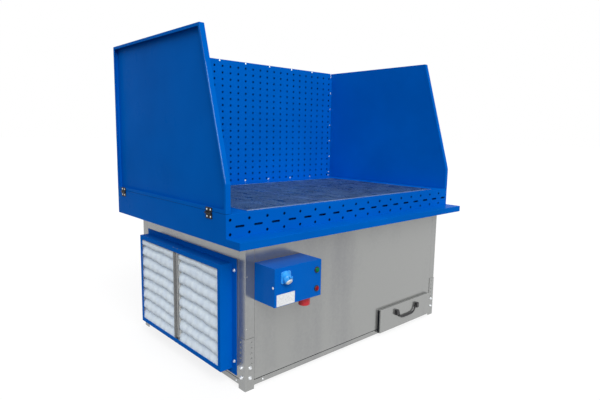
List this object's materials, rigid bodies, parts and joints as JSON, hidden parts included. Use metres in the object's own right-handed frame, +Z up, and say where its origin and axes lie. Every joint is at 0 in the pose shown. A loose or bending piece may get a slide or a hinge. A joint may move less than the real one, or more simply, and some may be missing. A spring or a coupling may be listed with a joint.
{
  "type": "downdraft table",
  "caption": "Free-standing downdraft table: blue sheet-steel tray with grates, fold-down side panels and a perforated suction wall on a galvanised fan and filter cabinet.",
  "frame": {"origin": "middle of the overall footprint on the floor under the legs", "axes": "+X to the right seen from the front, +Y to the rear (suction wall), +Z up"},
  "size_m": [1.7196, 1.2948, 1.614],
  "materials": {
    "blue_paint": "satin powder coat",
    "grate_steel": "dark worn steel",
    "hinge_black": "black",
    "plated_steel": "zinc plated",
    "galvanised": "galvanised sheet, semi-gloss",
    "filter_media": "pleated white fibre",
    "filter_card": "matt card",
    "black_plastic": "matt",
    "button_green": "gloss",
    "button_red": "gloss",
    "socket_blue": "gloss",
    "lid_white": "gloss",
    "inlet_red": "gloss",
    "starter_grey": "matt",
    "impeller_aluminium": "plain",
    "motor_grey": "satin"
  },
  "bodies": {
    "cabinet": {"base_pan": "galvanised", "button_bezels": "black_plastic", "button_contact_blocks": "black_plastic", "control_box_base": "blue_paint", "control_box_cover": "blue_paint", "drawer_runners": "galvanised", "dust_hopper": "galvanised", "fan_inlet_cone": "galvanised", "fan_motor": "motor_grey", "filter_cell_frame_front": "filter_card", "filter_cell_frame_rear": "filter_card", "filter_centre_bar": "plated_steel", "filter_frame": "blue_paint", "filter_media_front": "filter_media", "filter_media_rear": "filter_media", "front_panel": "galvanised", "grate_ledge_front": "blue_paint", "grate_ledge_rear": "blue_paint", "hinge_fixed_leaves": "hinge_black", "hinge_pins": "plated_steel", "inlet_core": "black_plastic", "left_side_panel": "galvanised", "leg_front_left": "galvanised", "leg_front_right": "galvanised", "leg_rear_left": "galvanised", "leg_rear_right": "galvanised", "motor_stand": "galvanised", "motor_starter": "starter_grey", "mounting_rail": "plated_steel", "partition": "galvanised", "post_front_left": "galvanised", "post_front_right": "galvanised", "post_rear_left": "galvanised", "post_rear_right": "galvanised", "power_inlet": "inlet_red", "rear_panel": "galvanised", "right_side_panel": "galvanised", "socket": "socket_blue", "spark_baffle": "galvanised", "table_frame": "blue_paint", "wall_back_sheet": "blue_paint", "wall_perforated_face": "blue_paint"},
    "left_panel": {"left_panel": "blue_paint", "left_hinge_moving_leaves": "hinge_black"},
    "right_panel": {"right_panel": "blue_paint", "right_hinge_moving_leaves": "hinge_black"},
    "drawer": {"drawer_front": "galvanised", "drawer_tray": "galvanised", "handle_feet": "black_plastic"},
    "handle": {"bail_handle": "black_plastic"},
    "start_button": {"start_button": "button_green"},
    "stop_button": {"stop_button": "button_red"},
    "socket_lid": {"socket_lid": "lid_white"},
    "impeller": {"fan_impeller": "impeller_aluminium", "motor_shaft": "plated_steel"},
    "grate_left": {"grate_1": "grate_steel"},
    "grate_middle": {"grate_2": "grate_steel"},
    "grate_right": {"grate_3": "grate_steel"}
  },
  "joints": [
    {"name": "left_panel_hinge", "type": "hinge", "parent": "cabinet", "child": "left_panel", "pos_m": [-0.8555, -0.33963, 0.81], "axis": [0, -1, 0], "range_deg": [0, 180]},
    {"name": "right_panel_hinge", "type": "hinge", "parent": "cabinet", "child": "right_panel", "pos_m": [0.8555, -0.33963, 0.81], "axis": [0, 1, 0], "range_deg": [0, 180]},
    {"name": "drawer_slide", "type": "slide", "parent": "cabinet", "child": "drawer", "axis": [0, -1, 0], "range_m": [0, 0.45]},
    {"name": "handle_hinge", "type": "hinge", "parent": "drawer", "child": "handle", "pos_m": [0.4345, -0.49463, 0.116], "axis": [-1, 0, 0], "range_deg": [0, 90]},
    {"name": "start_button_press", "type": "slide", "parent": "cabinet", "child": "start_button", "axis": [0, 1, 0], "range_m": [0, 0.004], "stiffness_N_per_m": 600},
    {"name": "stop_button_press", "type": "slide", "parent": "cabinet", "child": "stop_button", "axis": [0, 1, 0], "range_m": [0, 0.004], "stiffness_N_per_m": 600},
    {"name": "socket_lid_hinge", "type": "hinge", "parent": "cabinet", "child": "socket_lid", "pos_m": [-0.64, -0.64405, 0.55063], "axis": [-1, 0, 0], "range_deg": [0, 95], "stiffness_Nm_per_rad": 0.005, "springref_deg": -34.38},
    {"name": "fan_spin", "type": "hinge", "parent": "cabinet", "child": "impeller", "pos_m": [-0.306, 0.03737, 0.47], "axis": [1, 0, 0], "continuous": true},
    {"name": "grate_left_lift", "type": "slide", "parent": "cabinet", "child": "grate_left", "axis": [0, 0, 1], "range_m": [0, 0.1]},
    {"name": "grate_middle_lift", "type": "slide", "parent": "cabinet", "child": "grate_middle", "axis": [0, 0, 1], "range_m": [0, 0.1]},
    {"name": "grate_right_lift", "type": "slide", "parent": "cabinet", "child": "grate_right", "axis": [0, 0, 1], "range_m": [0, 0.1]}
  ]
}
